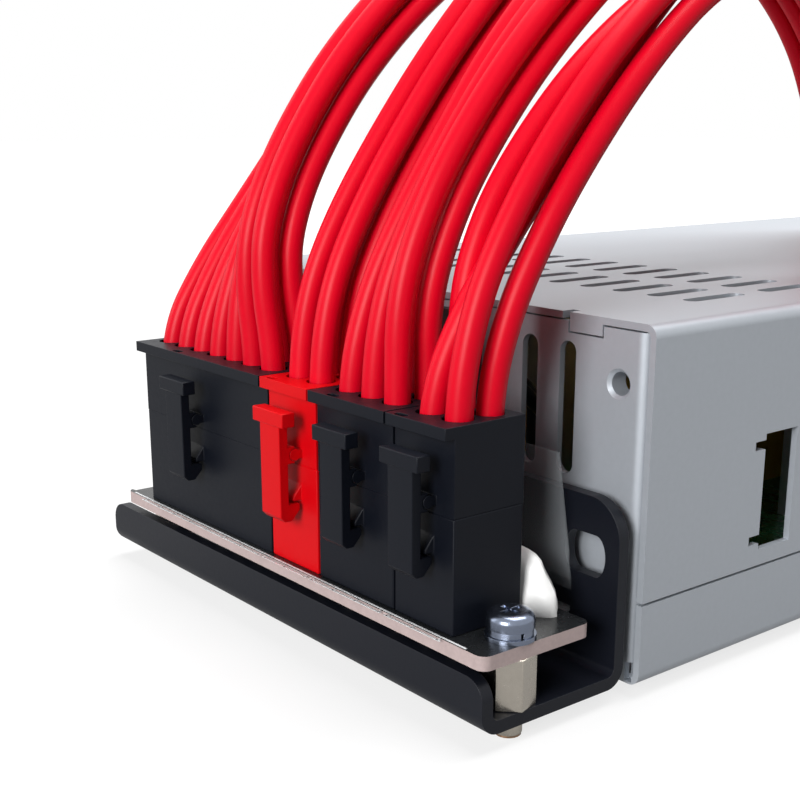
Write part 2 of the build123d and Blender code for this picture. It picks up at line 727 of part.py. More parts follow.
# Wires. Each cable has a spine: across from its plug's middle, back from the front wall, up from the
# case's underside, then how far its wires draw together and how much its
# fan of leans counts there.
plug_mid_y = -header_front + shell_depth / 2
wire_start_z = plug_top - wire_hole_depth - case_z
far_z = case_height + shell_depth / 2
spines = {
    "14_way": (
        (0, plug_mid_y, wire_start_z, 1, 0),
        (0, plug_mid_y, 36.3, 1, 0),
        (0.4, -14.4, 46, 0.9, 0.8),
        (1.1, -8.6, 57, 0.82, 1.4),
        (2.3, -0.3, 69, 0.8, 1.4),
        (3.8, 10.5, 80, 0.8, 0.9),
        (5.9, 25, 89, 0.8, 0.4),
        (8.2, 44, 94.5, 0.8, 0),
        (10.3, 64, 94, 0.8, 0),
        (11.9, 82, 87.5, 0.8, 0),
        (12.8, 96.5, 75.5, 0.8, 0),
        (13, 106, 60.5, 0.85, 0),
        (12.8, 114.5, 49.5, 0.95, 0),
        (12.6, 124, far_z, 1, 0),
        (12.6, 126 + wire_hole_depth, far_z, 1, 0),
    ),
    "red_4_way": (
        (0, plug_mid_y, wire_start_z, 1, 0),
        (0, plug_mid_y, 36, 1, 0),
        (0.5, -15.2, 45.5, 0.9, 0),
        (1.5, -8.8, 56.5, 0.82, 0),
        (2.8, 0, 68.5, 0.8, 0),
        (4.2, 11.5, 80.5, 0.8, 0),
        (6, 26.5, 90.5, 0.8, 0),
        (8.4, 45.5, 96, 0.8, 0),
        (10.6, 65, 95, 0.8, 0),
        (12.2, 83, 88, 0.8, 0),
        (13.1, 97, 75.5, 0.8, 0),
        (13.4, 106, 60.5, 0.85, 0),
        (13.3, 114.5, 49.5, 0.95, 0),
        (13.3, 124, far_z, 1, 0),
        (13.3, 126 + wire_hole_depth, far_z, 1, 0),
    ),
    "6_way": (
        (0, plug_mid_y, wire_start_z, 1, 0),
        (0, plug_mid_y, 36.2, 1, 0),
        (0.6, -15, 45.8, 0.9, 0.9),
        (1.7, -9.4, 56.6, 0.82, 1.2),
        (3.2, -1, 68.8, 0.8, 0.8),
        (4.8, 11, 80.6, 0.8, 0.4),
        (6.8, 26.5, 90.2, 0.8, 0),
        (9.1, 45.5, 95.6, 0.8, 0),
        (11.5, 65, 94.6, 0.8, 0),
        (13.1, 83, 87.6, 0.8, 0),
        (14, 97, 75.3, 0.8, 0),
        (14.3, 106, 60.5, 0.85, 0),
        (14.2, 114.5, 49.5, 0.95, 0),
        (14.2, 124, far_z, 1, 0),
        (14.2, 126 + wire_hole_depth, far_z, 1, 0),
    ),
    "4_way": (
        (0, plug_mid_y, wire_start_z, 1, 0),
        (0, plug_mid_y, 36.1, 1, 0),
        (0.8, -14, 45.6, 0.9, 0.8),
        (1.9, -8, 56.2, 0.82, 1),
        (2.9, 1, 67.5, 0.8, 0.6),
        (3.6, 12, 76.5, 0.8, 0.2),
        (4, 24, 80.5, 0.8, 0),
        (4.1, 36.5, 78, 0.8, 0),
        (4, 45.5, 69, 0.82, 0),
        (3.9, 50.5, 58, 0.9, 0),
        (3.8, 58.5, 49.2, 1, 0),
        (3.8, 70, far_z, 1, 0),
        (3.8, 72 + wire_hole_depth, far_z, 1, 0),
    ),
}
# How far back each column leans from its spine, where the fan counts fully
fans = {
    "14_way": (5.0, 3.4, 2.8, 0.6, -2.6, -5.0, -5.0),
    "red_4_way": (0.0, 0.0),
    "6_way": (1.0, -0.2, -0.8),
    "4_way": (1.8, -1.8),
}


def wire_route(middle, spine, lean, column, row, columns):
    """The route's points for one wire: row 0 is the latch side, which is the outside of the bend."""
    route = []
    for k, (x, y, z, squeeze, fan) in enumerate(spine):
        before = spine[max(k - 1, 0)]
        after = spine[min(k + 1, len(spine) - 1)]
        along_y = after[1] - before[1]
        along_z = after[2] - before[2]
        if k == 0:
            along_y, along_z = 0, 1
        if k >= len(spine) - 2:
            along_y, along_z = 1, 0
        if k == 1:
            along_y, along_z = 0, 1
        length = hypot(along_y, along_z)
        out = (0.5 - row) * pitch * squeeze
        side = (column - (columns - 1) / 2) * pitch * squeeze
        route.append(
            Vector(
                middle + x + side,
                wall_y + y - out * along_z / length + lean * fan,
                case_z + z + out * along_y / length,
            )
        )
    return route


tightest = 1000.0
for cable, columns, latch_at in cables:
    with BuildPart() as wires:
        for column in range(columns):
            for row in (0, 1):
                route = wire_route(
                    plug_middle[cable], spines[cable], fans[cable][column], column, row, columns
                )
                radii = []
                for a, b, c in zip(route, route[1:], route[2:]):
                    turn = (b - a).get_angle(c - b)
                    run = min((b - a).length, (c - b).length)
                    radii.append(0.45 * run / tan(radians(turn / 2)))
                tightest = min(tightest, min(radii))
                with BuildLine() as path:
                    FilletPolyline(*route, radius=radii)
                centre = path.wire()
                with BuildSketch(Plane(centre @ 0, z_dir=centre % 0)):
                    Circle(wire_radius)
                sweep(path=centre)
                if row == 0 and column == 0:
                    print(cable, "radii", [round(r, 1) for r in radii], "length", round(centre.length, 1))
    wires.part.label = "wires_" + cable
    export_step(wires.part, "parts/wires_" + cable + ".step")
print("tightest radius", round(tightest, 2), "of wire diameter", 2 * wire_radius)

# Output leads: from the main board up, out through the grommet and down to the breakout board
main_z = case_z + sheet + boss_height
main_top = main_z + main_thick
lead_high = opening_z
for colour, places in lead_colours.items():
    with BuildPart() as leads:
        for k, x in enumerate(places):
            high = lead_high + (1.6 if k % 2 else -0.8)
            with BuildLine() as path:
                FilletPolyline(
                    (x, wall_y + 16, main_top),
                    (x, wall_y + 16, high - 7),
                    (x, wall_y + 8, high),
                    (x, wall_y - 3, high + 0.5),
                    (x, lead_y, high - 6),
                    (x, lead_y, board_top),
                    radius=[5, 5, 5, 5],
                )
            centre = path.wire()
            with BuildSketch(Plane(centre @ 0, z_dir=centre % 0)):
                Circle(lead_radius)
            sweep(path=centre)
    leads.part.label = "leads_" + colour
    export_step(leads.part, "parts/leads_" + colour + ".step")

# Insulating film: stands behind the headers against the bracket and tucks under the board
film_thick = 0.25
film_top = case_z + 25.8
with BuildPart() as insulating_film:
    with BuildSketch(Plane.YZ.offset(0)):
        with BuildLine():
            FilletPolyline(
                (wall_y - 4.1, film_top),
                (wall_y - 3.7, board_top + 4),
                (wall_y - 2.6, board_top - 1),
                (wall_y - 4.6, board_z - 1.2),
                (wall_y - 11.5, board_z - 0.7),
                radius=1.6,
            )
        trace(line_width=film_thick)
    extrude(amount=33, both=True)
    with BuildSketch(front_plane):
        with BuildLine():
            Polyline(
                (31.2, film_top + 1),
                (33.2, board_top + 4),
                (33.2, film_top + 1),
                close=True,
            )
        make_face()
    extrude(amount=10, mode=Mode.SUBTRACT)
insulating_film.part.label = "insulating_film"
export_step(insulating_film.part, "parts/insulating_film.step")

# Silicone bead behind the right header, holding the board's rear edge parts
bead_y = (header_y + shell_depth + board_front + board_depth) / 2
bead_reach = board_front + board_depth - header_y - shell_depth
with BuildPart() as silicone_bead:
    with BuildSketch(Plane.XY.offset(board_top)):
        with Locations((27.5, bead_y)):
            Ellipse(7.4, bead_reach / 2 - 0.1)
    with BuildSketch(Plane.XY.offset(board_top + 2.2)):
        with Locations((27.0, bead_y - 0.1)):
            Ellipse(5.6, bead_reach / 2 - 0.5)
    with BuildSketch(Plane.XY.offset(board_top + 5.4)):
        with Locations((26.0, bead_y - 0.3)):
            Ellipse(2.6, bead_reach / 2 - 1.3)
    loft()
silicone_bead.part.label = "silicone_bead"
export_step(silicone_bead.part, "parts/silicone_bead.step")

# Main board
with BuildPart() as main_board:
    with BuildSketch(Plane.XY.offset(main_z)):
        with Locations((0, wall_y + main_start + main_length / 2)):
            Rectangle(main_width, main_length)
        with Locations(*boss_spots):
            Circle(boss_bore + slip, mode=Mode.SUBTRACT)
    extrude(amount=main_thick)
main_board.part.label = "main_board"
export_step(main_board.part, "parts/main_board.step")

# Transformer: ferrite core round a wound bobbin
core_y = wall_y + 62
tallest = case_top - sheet - cover_clear - main_top
core_height = tallest - 1
core_yoke = 5.4
with BuildPart() as transformer:
    with BuildSketch(Plane.XY.offset(main_top)):
        with Locations((-2, core_y)):
            Rectangle(30, 12)
    extrude(amount=core_height)
    with BuildSketch(Plane.XZ.offset(-core_y)):
        with Locations((-2, main_top + core_height / 2)):
            with GridLocations(17, 1, 2, 1):
                Rectangle(7, core_height - 2 * core_yoke + 0.8)
    extrude(amount=6, both=True, mode=Mode.SUBTRACT)
    with BuildSketch(Plane.XY.offset(main_top + core_yoke)):
        with Locations((-2, core_y)):
            RectangleRounded(23.6, 25, 5)
    extrude(amount=core_height - 2 * core_yoke)
    with BuildSketch(Plane.XY.offset(main_top)):
        with Locations((-2, core_y)):
            with GridLocations(1, 20, 1, 2):
                Rectangle(22, 4)
    extrude(amount=core_yoke)
transformer.part.label = "transformer"
export_step(transformer.part, "parts/transformer.step")

# Capacitors: the bulk one lies down, the output ones stand
with BuildPart() as capacitors:
    with BuildSketch(Plane.XZ.offset(-(wall_y + 84))):
        with Locations((-24, main_top + 9.2)):
            Circle(9)
    extrude(amount=-32)
    with BuildSketch(Plane.XY.offset(main_top)):
        with Locations((24, wall_y + 20), (24, wall_y + 31), (13, wall_y + 26)):
            Circle(4)
        with Locations((-22, wall_y + 20), (-22, wall_y + 31)):
            Circle(4)
    extrude(amount=16)
    chamfer(capacitors.edges().filter_by(GeomType.CIRCLE), 0.6)
capacitors.part.label = "capacitors"
export_step(capacitors.part, "parts/capacitors.step")

# Chokes: two wound rings standing on the board
with BuildPart() as chokes:
    for x, y in ((-26, wall_y + 68), (2, wall_y + 93)):
        with BuildSketch(Plane.YZ.offset(x)):
            with Locations((y, main_top + 11)):
                Circle(11)
                Circle(4.5, mode=Mode.SUBTRACT)
        extrude(amount=4.5, both=True)
    fillet(chokes.edges().filter_by(GeomType.CIRCLE), 2.5)
chokes.part.label = "chokes"
export_step(chokes.part, "parts/chokes.step")

# Heatsinks: finned plates standing along the board
with BuildPart() as heatsinks:
    for x, y in ((32, wall_y + 66), (-10, wall_y + 36)):
        with BuildSketch(Plane.XY.offset(main_top)):
            with Locations((x, y)):
                Rectangle(2, 44 if x > 0 else 20)
            for k in range(6 if x > 0 else 3):
                with Locations((x - 4, y - (18 if x > 0 else 8) + 7.2 * k)):
                    Rectangle(7, 1.2)
        extrude(amount=tallest)
heatsinks.part.label = "heatsinks"
export_step(heatsinks.part, "parts/heatsinks.step")

# Fan frame: two flanges on a round duct, with a hub on three struts at its inner end
fan_out = rear_y - sheet  # the frame's outer face, on the rear wall's inside
fan_axis = Axis((fan_at, 0, fan_z), (0, 1, 0))
strut_thick = 2.4
with BuildPart() as fan_frame:
    with BuildSketch(Plane.XZ.offset(-fan_out)):
        with Locations((fan_at, fan_z)):
            RectangleRounded(fan_size, fan_size, 2.6)
    extrude(amount=fan_depth)
    # Corners waisted between the flanges
    with BuildSketch(Plane.XZ.offset(-fan_out + fan_flange)):
        with Locations((fan_at, fan_z)):
            Rectangle(fan_size + 2, fan_size + 2)
            Circle(fan_bore + 1.1, mode=Mode.SUBTRACT)
    extrude(amount=fan_depth - 2 * fan_flange, mode=Mode.SUBTRACT)
    with BuildSketch(Plane.XZ.offset(-fan_out)):
        with Locations((fan_at, fan_z)):
            Circle(fan_bore)
            with GridLocations(fan_pitch, fan_pitch, 2, 2):
                Circle(fan_hole)
    extrude(amount=fan_depth, mode=Mode.SUBTRACT)
    with BuildSketch(Plane.XZ.offset(-fan_out + fan_depth - strut_thick)):
        with Locations((fan_at, fan_z)):
            Circle(hub_radius - 0.4)
            with PolarLocations(fan_bore / 2 + 1, 3):
                Rectangle(fan_bore, 2.2)
    extrude(amount=strut_thick)
    with BuildSketch(Plane.XZ.offset(-fan_out + fan_depth - strut_thick - 12)):
        with Locations((fan_at, fan_z)):
            Circle(3.4)
    extrude(amount=12)
    with BuildSketch(Plane.XZ.offset(-fan_out + fan_depth - strut_thick - 12)):
        with Locations((fan_at, fan_z)):
            Circle(shaft_radius + shaft_fit)
    extrude(amount=12.6, mode=Mode.SUBTRACT)
fan_frame.part.label = "fan_frame"
export_step(fan_frame.part, "parts/fan_frame.step")

# Fan rotor: a cup with a shaft and twisted blades
rotor_out = fan_out - 1.6  # the cup's outer face
blade_mid = rotor_out - hub_length / 2
blade_tip = fan_bore - blade_gap
with BuildPart() as fan_blade:
    for reach, angle in ((hub_radius - 0.5, 52), (blade_tip + 0.5, 34)):
        with BuildSketch(Plane((fan_at, blade_mid, fan_z + reach), x_dir=(1, 0, 0), z_dir=(0, 0, 1))):
            Rectangle(blade_chord, blade_thick, rotation=angle)
    loft()
    with BuildSketch(Plane.XZ.offset(-rotor_out)):
        with Locations((fan_at, fan_z)):
            Circle(blade_tip)
    extrude(amount=hub_length, mode=Mode.INTERSECT)
with BuildPart() as fan_rotor:
    with BuildSketch(Plane.XZ.offset(-rotor_out)):
        with Locations((fan_at, fan_z)):
            Circle(hub_radius)
    extrude(amount=hub_length)
    fillet(fan_rotor.edges().group_by(Axis.Y)[-1], 1.2)
    with BuildSketch(Plane.XZ.offset(-rotor_out + 1.4)):
        with Locations((fan_at, fan_z)):
            Circle(hub_radius - hub_wall)
    extrude(amount=hub_length, mode=Mode.SUBTRACT)
    with BuildSketch(Plane.XZ.offset(-rotor_out + 1)):
        with Locations((fan_at, fan_z)):
            Circle(shaft_radius)
    extrude(amount=fan_depth - strut_thick - 2.6 - 0.4)
    for k in range(blade_count):
        add(fan_blade.part.rotate(fan_axis, k * 360 / blade_count))
fan_rotor.part.label = "fan_rotor"
export_step(fan_rotor.part, "parts/fan_rotor.step")

# Fan guard: wire rings on four legs, each ending in an eyelet under a screw
guard_y = rear_y + guard_wire
ring_y = guard_y + 1.6 * guard_wire  # the rings are welded on the legs' outside
leg_radius = guard_wire * 0.93
corner_reach = fan_pitch / 2 * 2**0.5
eye_radius = fan_hole + guard_wire + 0.1
with BuildPart() as fan_guard:
    with BuildSketch(Plane((fan_at, ring_y, fan_z), x_dir=(1, 0, 0), z_dir=(0, 0, 1))):
        with Locations(*[(r, 0) for r in guard_rings]):
            Circle(guard_wire)
    revolve(axis=fan_axis)
    for k in range(4):
        turn = radians(45 + 90 * k)
        start = guard_rings[0]
        stop = corner_reach - eye_radius
        with BuildSketch(
            Plane(
                (fan_at + start * cos(turn), guard_y, fan_z + start * sin(turn)),
                z_dir=(cos(turn), 0, sin(turn)),
            )
        ):
            Circle(leg_radius)
        extrude(amount=stop - start)
        eye_x = fan_at + corner_reach * cos(turn)
        eye_z = fan_z + corner_reach * sin(turn)
        with BuildSketch(Plane((eye_x, guard_y, eye_z), x_dir=(1, 0, 0), z_dir=(0, 0, 1))):
            with Locations((eye_radius, 0)):
                Circle(guard_wire)
        revolve(axis=Axis((eye_x, 0, eye_z), (0, 1, 0)))
fan_guard.part.label = "fan_guard"
export_step(fan_guard.part, "parts/fan_guard.step")

# Fan screws
with BuildPart() as fan_screws:
    with BuildSketch(Plane.XZ.offset(-(rear_y + 2 * guard_wire))):
        with Locations((fan_at, fan_z)):
            with GridLocations(fan_pitch, fan_pitch, 2, 2):
                Circle(fan_head_radius)
    extrude(amount=-fan_head_height)
    fillet(fan_screws.edges().group_by(Axis.Y)[-1], 0.8)
    with BuildSketch(Plane.XZ.offset(-(rear_y + 2 * guard_wire))):
        with Locations((fan_at, fan_z)):
            with GridLocations(fan_pitch, fan_pitch, 2, 2):
                Circle(fan_hole - slip)
    extrude(amount=2 * guard_wire + sheet + 6)
    with BuildSketch(Plane.XZ.offset(-(rear_y + rear_proud))):
        with Locations((fan_at, fan_z)):
            with GridLocations(fan_pitch, fan_pitch, 2, 2):
                Rectangle(2.8, 0.6)
                Rectangle(0.6, 2.8)
    extrude(amount=0.9, mode=Mode.SUBTRACT)
fan_screws.part.label = "fan_screws"
export_step(fan_screws.part, "parts/fan_screws.step")

# Mains inlet: a flanged socket with two cut corners
with BuildPart() as ac_inlet:
    with BuildSketch(Plane.XZ.offset(-(rear_y + inlet_flange))):
        with Locations((inlet_at, inlet_z)):
            RectangleRounded(inlet_flange_width, inlet_flange_height, 3)
    extrude(amount=inlet_flange)
    fillet(ac_inlet.edges().group_by(Axis.Y)[-1], 0.8)
    with BuildSketch(rear_plane):
        with Locations((inlet_at, inlet_z)):
            Rectangle(inlet_width, inlet_height)
    extrude(amount=inlet_depth)
    with BuildSketch(Plane.XZ.offset(-(rear_y + inlet_flange))) as socket:
        with Locations((inlet_at, inlet_z)):
            Rectangle(socket_width, socket_height)
        chamfer(socket.vertices().group_by(Axis.Z)[-1], socket_corner)
    extrude(amount=socket_depth, mode=Mode.SUBTRACT)
ac_inlet.part.label = "ac_inlet"
export_step(ac_inlet.part, "parts/ac_inlet.step")

with BuildPart() as inlet_pins:
    with BuildSketch(Plane.XZ.offset(-(rear_y + inlet_flange - socket_depth))):
        with Locations(
            (inlet_at - 7, inlet_z - 2), (inlet_at + 7, inlet_z - 2), (inlet_at, inlet_z + 2)
        ):
            Rectangle(2, 4)
    extrude(amount=-blade_pin_length + 2)
inlet_pins.part.label = "inlet_pins"
export_step(inlet_pins.part, "parts/inlet_pins.step")
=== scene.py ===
# %% [markdown]
# # A flex ATX power supply
# The supply is a small folded-steel box. A black bracket on its front carries a circuit board with
# four upright plugs and their red silicone wires. The CAD model gives every size, so this script
# dresses it: it is loaded first, and each cell below then gives one piece or one finish its looks.

import json
from math import hypot, pi, radians

import bmesh
import bpy
from mathutils import Matrix, Vector, noise

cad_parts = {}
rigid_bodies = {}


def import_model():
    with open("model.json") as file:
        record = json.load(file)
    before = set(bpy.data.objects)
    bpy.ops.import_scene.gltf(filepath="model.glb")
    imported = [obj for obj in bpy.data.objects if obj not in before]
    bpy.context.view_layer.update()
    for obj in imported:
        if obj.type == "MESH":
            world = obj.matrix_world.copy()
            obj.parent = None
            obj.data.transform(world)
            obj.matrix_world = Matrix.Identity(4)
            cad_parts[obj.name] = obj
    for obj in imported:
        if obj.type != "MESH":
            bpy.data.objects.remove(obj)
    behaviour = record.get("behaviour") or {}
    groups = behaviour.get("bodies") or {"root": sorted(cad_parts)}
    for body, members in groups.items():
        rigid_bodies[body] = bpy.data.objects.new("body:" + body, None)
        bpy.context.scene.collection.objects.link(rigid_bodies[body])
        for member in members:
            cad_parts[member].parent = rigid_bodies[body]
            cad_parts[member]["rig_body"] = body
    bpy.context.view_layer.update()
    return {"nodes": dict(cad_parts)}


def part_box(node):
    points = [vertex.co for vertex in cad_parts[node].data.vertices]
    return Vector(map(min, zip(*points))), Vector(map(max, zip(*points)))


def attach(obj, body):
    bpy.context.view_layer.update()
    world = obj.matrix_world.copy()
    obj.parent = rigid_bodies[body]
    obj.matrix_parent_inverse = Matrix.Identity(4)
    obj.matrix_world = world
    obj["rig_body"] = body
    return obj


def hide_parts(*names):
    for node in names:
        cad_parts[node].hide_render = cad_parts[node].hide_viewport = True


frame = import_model()
nodes = frame["nodes"]
MM = 0.001
print(len(nodes), "nodes")

# %% [markdown]
# ## Landmarks
# The CAD is built from a few sizes. The pieces made here sit on the same landmarks, which are the
# front wall, the underside of the case and the four plugs, so those are worked out once.

# %% Landmarks
WALL_Y = -64.1  # the front wall's outer face
CASE_Z = 1.6  # the case's underside
PITCH = 4.2  # from pin to pin
SHELL_DEPTH = 9.6  # a header, from front to back
HEADER_FRONT = 21.4  # from the front wall to the headers' front
WIRE_HOLE = 4.0  # how deep a wire goes into its plug
FAR_Z = 45.3  # the far plugs' middle above the case's underside
COLUMNS = {"14_way": 7, "red_4_way": 2, "6_way": 3, "4_way": 2}


def middle(node):
    """A node's middle across the case, in millimetres."""
    low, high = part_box(node)
    return (low[0] + high[0]) / 2 / MM


plug_middle = {cable: middle("header_" + cable) for cable in COLUMNS}
PLUG_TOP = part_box("plug_14_way")[1][2] / MM
print({cable: round(x, 2) for cable, x in plug_middle.items()}, "plug top", round(PLUG_TOP, 2))

# %% [markdown]
# ## Camera
# The photograph was taken from the right front corner, a little above the board, with its frame
# shifted from the lens's axis. A camera matrix holds the right, up and backward directions as
# columns, which is more exact than guessing three angles.

# %% Camera
lens_right = Vector((0.6306, 0.7761, 0.0034))
lens_up = -Vector((0.2082, -0.1650, -0.9641))
lens_back = lens_right.cross(lens_up).normalized()
lens_up = lens_back.cross(lens_right).normalized()
lens_at = Vector((126.43, -165.9, 62.76)) * MM
photo_camera = bpy.data.objects.new("photo_camera", bpy.data.cameras.new("photo_camera"))
photo_camera.matrix_world = Matrix.Translation(lens_at) @ Matrix(
    (lens_right, lens_up, lens_back)
).transposed().to_4x4()
photo_camera.data.lens = 57.6
photo_camera.data.shift_x = -0.0188
photo_camera.data.shift_y = 0.0864
photo_camera.data.clip_start = 0.01
bpy.context.scene.collection.objects.link(photo_camera)
bpy.context.scene.camera = photo_camera

# %% [markdown]
# ## Grain
# No real surface has one even value. Sheet metal clouds, moulded plastic has a fine texture and
# rubber is slightly uneven. One node group makes that variation, and each material sets how large and
# how strong it is.


# %% Grain group
def build_grain():
    group = bpy.data.node_groups.new("grain", "ShaderNodeTree")
    face = group.interface
    for label, value in (("Cloud Scale", 30.0), ("Grain Scale", 900.0), ("Strength", 0.1)):
        face.new_socket(label, in_out="INPUT", socket_type="NodeSocketFloat").default_value = value
    for label in ("Shade", "Roughness Shift", "Height"):
        face.new_socket(label, in_out="OUTPUT", socket_type="NodeSocketFloat")
    make, wire = group.nodes.new, group.links.new
    given = make("NodeGroupInput")
    given_out = make("NodeGroupOutput")
    where = make("ShaderNodeTexCoord")
    cloud = make("ShaderNodeTexNoise")
    fine = make("ShaderNodeTexNoise")
    cloud.inputs["Detail"].default_value = 3
    fine.inputs["Detail"].default_value = 2
    for texture, label in ((cloud, "Cloud Scale"), (fine, "Grain Scale")):
        wire(where.outputs["Object"], texture.inputs["Vector"])
        wire(given.outputs[label], texture.inputs["Scale"])
    both = make("ShaderNodeMath")
    both.operation = "ADD"
    wire(cloud.outputs["Fac"], both.inputs[0])
    wire(fine.outputs["Fac"], both.inputs[1])
    centred = make("ShaderNodeMath")
    centred.operation = "SUBTRACT"
    centred.inputs[1].default_value = 1.0
    wire(both.outputs[0], centred.inputs[0])
    scaled = make("ShaderNodeMath")
    scaled.operation = "MULTIPLY"
    wire(centred.outputs[0], scaled.inputs[0])
    wire(given.outputs["Strength"], scaled.inputs[1])
    shade = make("ShaderNodeMath")
    shade.operation = "ADD"
    shade.inputs[1].default_value = 1.0
    wire(scaled.outputs[0], shade.inputs[0])
    wire(shade.outputs[0], given_out.inputs["Shade"])
    wire(scaled.outputs[0], given_out.inputs["Roughness Shift"])
    wire(fine.outputs["Fac"], given_out.inputs["Height"])
    return group


grain = build_grain()


def finish(
    name, colour, rough, metal=0.0, cloud=30.0, fine=900.0, strength=0.1, bump=0.05, **sockets
):
    """A material with the grain group behind its colour, roughness and bump."""
    material = bpy.data.materials.new(name)
    material.use_nodes = True
    tree = material.node_tree
    shader = tree.nodes["Principled BSDF"]
    shader.inputs["Metallic"].default_value = metal
    for label, value in sockets.items():
        shader.inputs[label.replace("_", " ")].default_value = value
    texture = tree.nodes.new("ShaderNodeGroup")
    texture.node_tree = grain
    texture.inputs["Cloud Scale"].default_value = cloud
    texture.inputs["Grain Scale"].default_value = fine
    texture.inputs["Strength"].default_value = strength
    tint = tree.nodes.new("ShaderNodeVectorMath")
    tint.operation = "SCALE"
    tint.inputs[0].default_value = colour
    tree.links.new(texture.outputs["Shade"], tint.inputs["Scale"])
    tree.links.new(tint.outputs["Vector"], shader.inputs["Base Color"])
    rougher = tree.nodes.new("ShaderNodeMath")
    rougher.inputs[1].default_value = rough
    tree.links.new(texture.outputs["Roughness Shift"], rougher.inputs[0])
    tree.links.new(rougher.outputs[0], shader.inputs["Roughness"])
    lift = tree.nodes.new("ShaderNodeBump")
    lift.inputs["Strength"].default_value = bump
    lift.inputs["Distance"].default_value = 0.0001
    tree.links.new(texture.outputs["Height"], lift.inputs["Height"])
    tree.links.new(lift.outputs["Normal"], shader.inputs["Normal"])
    return material


# %% [markdown]
# ## Finishes
# Each finish is named for what it is on the supply. Colours are linear values read from the
# photograph: the silicone is a strong pinkish red, the steel a cool grey and the nylon almost black.

# %% Finishes
steel = finish(
    "zinc_steel", (0.41, 0.44, 0.48), 0.38, metal=0.35, cloud=14, fine=1400, strength=0.08,
    bump=0.03,
)
black_coat = finish(
    "black_coat", (0.005, 0.006, 0.010), 0.4, cloud=25, fine=1800, strength=0.12, bump=0.08,
    Specular_IOR_Level=0.22,
)
black_nylon = finish(
    "black_nylon", (0.0035, 0.0045, 0.008), 0.42, cloud=60, fine=1500, strength=0.15, bump=0.06,
    Specular_IOR_Level=0.14,
)
red_nylon = finish(
    "red_nylon", (0.56, 0.001, 0.004), 0.4, cloud=60, fine=1500, strength=0.08, bump=0.05,
    Specular_IOR_Level=0.12,
)
silicone_red = finish(
    "silicone_red", (0.60, 0.001, 0.014), 0.36, cloud=70, fine=1200, strength=0.08, bump=0.06,
    Specular_IOR_Level=0.12,
)
nickel = finish(
    "nickel", (0.50, 0.46, 0.40), 0.26, metal=1.0, cloud=120, fine=2500, strength=0.12, bump=0.05,
)
zinc_screw = finish(
    "zinc_screw", (0.20, 0.23, 0.30), 0.24, metal=1.0, cloud=150, fine=2500, strength=0.1,
    bump=0.04,
)
brown_brass = finish(
    "brown_brass", (0.20, 0.12, 0.07), 0.4, metal=0.8, cloud=200, fine=2500, strength=0.2,
)
tinned = finish("tinned", (0.62, 0.60, 0.56), 0.3, metal=1.0, cloud=150, fine=2000, strength=0.1)
solder_mask = finish(
    "black_solder_mask", (0.010, 0.011, 0.012), 0.28, cloud=50, fine=900, strength=0.15,
    bump=0.03,
)
board_edge = finish(
    "board_edge", (0.42, 0.33, 0.32), 0.6, cloud=300, fine=2500, strength=0.25, bump=0.2,
)
green_mask = finish(
    "green_solder_mask", (0.02, 0.13, 0.05), 0.25, cloud=50, fine=900, strength=0.15,
)
# The white of the printed lines; the same white also paints a highlight along the board's front edge.
white_ink = finish("white_ink", (0.70, 0.71, 0.72), 0.5, cloud=200, fine=2500, strength=0.15)
sealant = finish(
    "white_sealant", (0.80, 0.80, 0.79), 0.32, cloud=120, fine=700, strength=0.04, bump=0.2,
)
grommet_rubber = finish(
    "grommet_rubber", (0.010, 0.010, 0.011), 0.5, cloud=60, fine=1200, strength=0.15,
)
lead_black = finish("lead_black", (0.010, 0.010, 0.011), 0.32, cloud=80, fine=1200, strength=0.1)
lead_yellow = finish("lead_yellow", (0.62, 0.33, 0.01), 0.35, cloud=80, fine=1200, strength=0.08)
lead_orange = finish("lead_orange", (0.75, 0.16, 0.01), 0.35, cloud=80, fine=1200, strength=0.08)
winding_tape = finish("winding_tape", (0.62, 0.42, 0.05), 0.4, cloud=60, fine=400, strength=0.1)
sleeve = finish("capacitor_sleeve", (0.015, 0.015, 0.02), 0.28, cloud=60, fine=900, strength=0.1)
copper = finish(
    "enamelled_copper", (0.50, 0.17, 0.05), 0.3, metal=0.7, cloud=300, fine=900, strength=0.2,
)
fins = finish(
    "extruded_fins", (0.6, 0.6, 0.62), 0.35, metal=0.9, cloud=60, fine=900, strength=0.1,
)
fan_black = finish("fan_black", (0.012, 0.013, 0.015), 0.45, cloud=60, fine=1400, strength=0.15)
film_clear = finish(
    "clear_film", (0.75, 0.80, 0.84), 0.12, cloud=60, fine=300, strength=0.05, bump=0.02,
    Alpha=0.1,
)

dress = {
    "case_base": steel,
    "case_cover": steel,
    "bracket": black_coat,
    "cover_screws": zinc_screw,
    "bracket_screws": zinc_screw,
    "fan_screws": zinc_screw,
    "fan_guard": zinc_screw,
    "board_screws": zinc_screw,
    "board_washers": zinc_screw,
    "standoffs": nickel,
    "header_pins": tinned,
    "inlet_pins": tinned,
    "breakout_board": solder_mask,
    "main_board": green_mask,
    "transformer": winding_tape,
    "capacitors": sleeve,
    "chokes": copper,
    "heatsinks": fins,
    "cable_grommet": grommet_rubber,
    "insulating_film": film_clear,
    "silicone_bead": sealant,
    "leads_black": lead_black,
    "leads_yellow": lead_yellow,
    "leads_orange": lead_orange,
    "fan_frame": fan_black,
    "fan_rotor": fan_black,
    "ac_inlet": black_nylon,
}
for cable in COLUMNS:
    for kind in ("header_", "plug_", "far_plug_", "latch_"):
        dress[kind + cable] = red_nylon if cable.startswith("red") else black_nylon
for name, material in dress.items():
    nodes[name].data.materials.clear()
    nodes[name].data.materials.append(material)
print(len(dress), "nodes dressed")

# %% [markdown]
# ## Rounded edges
# A moulded or folded edge is never quite sharp, and the thin highlight that it catches tells the eye
# what the piece is made of. A CAD mesh is loose triangles, so a copy is merged, its flat areas are
# joined again, and a narrow bevel goes round its edges.


